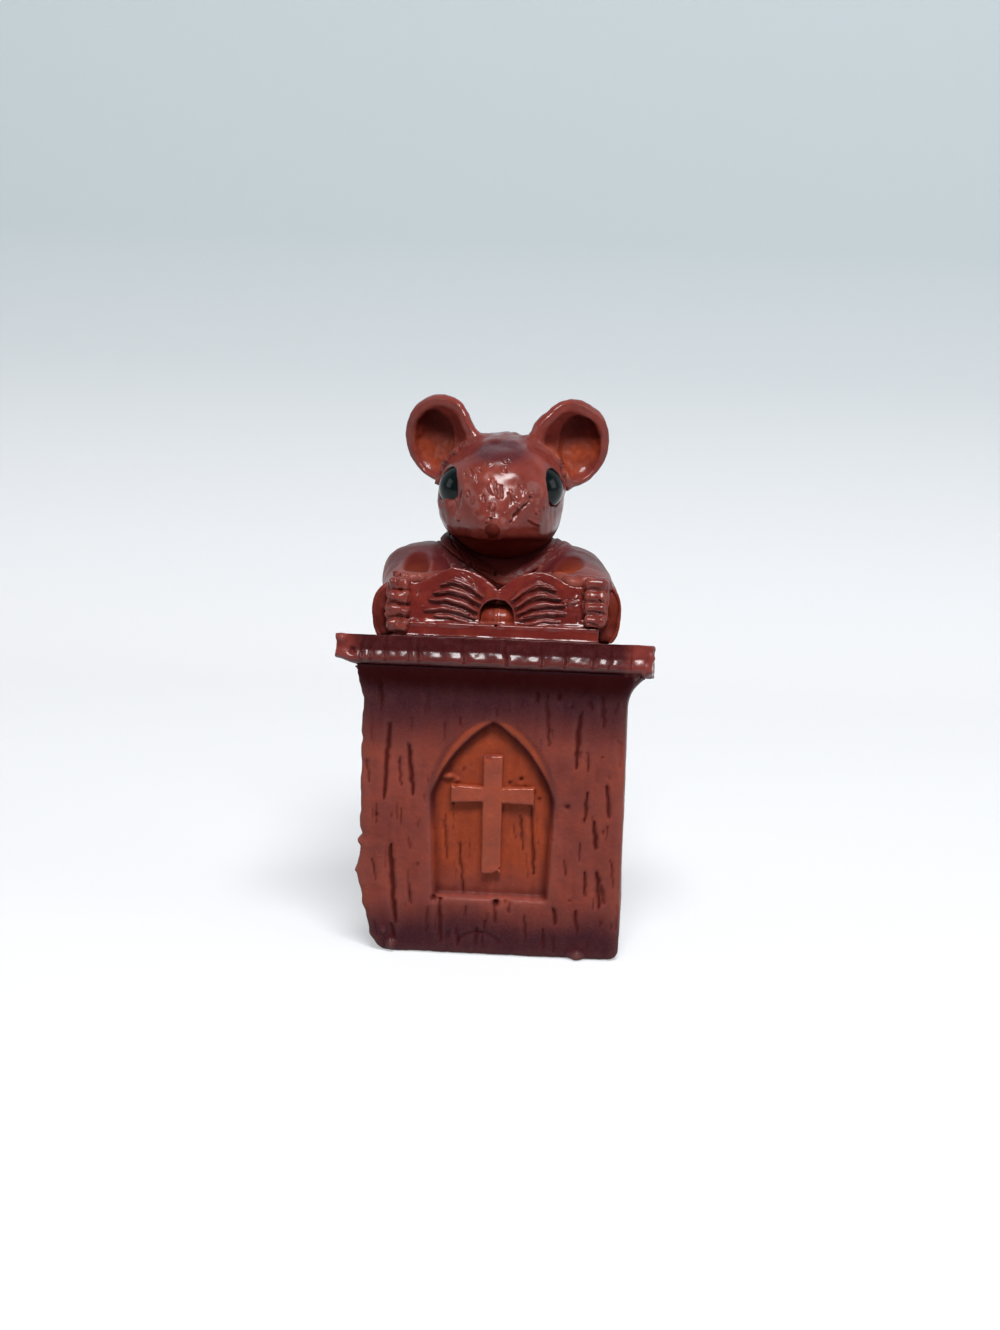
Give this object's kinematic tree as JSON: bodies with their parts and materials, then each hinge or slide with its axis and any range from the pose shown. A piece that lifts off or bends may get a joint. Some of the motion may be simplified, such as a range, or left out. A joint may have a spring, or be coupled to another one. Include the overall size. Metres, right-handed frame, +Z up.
{
  "type": "mouse figurine",
  "caption": "Cast resin ornament of a robed mouse standing behind a carved pulpit with a pointed niche and cross, reading an open book on its sloping desk.",
  "frame": {"origin": "middle of the footprint, on the surface that the figure stands on", "axes": "+Z up, +X to the viewer's right, -Y out of the pulpit's front, +Y out of the mouse's back"},
  "size_m": [0.049, 0.0428, 0.0857],
  "materials": {
    "pulpit_resin": "satin",
    "book_resin": "gloss",
    "robe_resin": "gloss",
    "fur_resin": "gloss",
    "eye_glass": "polished"
  },
  "bodies": {
    "root": {"pulpit_cabinet": "pulpit_resin", "pulpit_desk": "pulpit_resin", "niche_cross": "pulpit_resin", "book_cover": "book_resin", "left_pages": "book_resin", "right_pages": "book_resin", "robe_body": "robe_resin", "robe_collar": "robe_resin", "left_sleeve": "robe_resin", "right_sleeve": "robe_resin", "head": "fur_resin", "left_ear": "fur_resin", "right_ear": "fur_resin", "nose": "fur_resin", "left_paw": "fur_resin", "right_paw": "fur_resin", "tail": "fur_resin", "left_eye": "eye_glass", "right_eye": "eye_glass"}
  },
  "joints": []
}
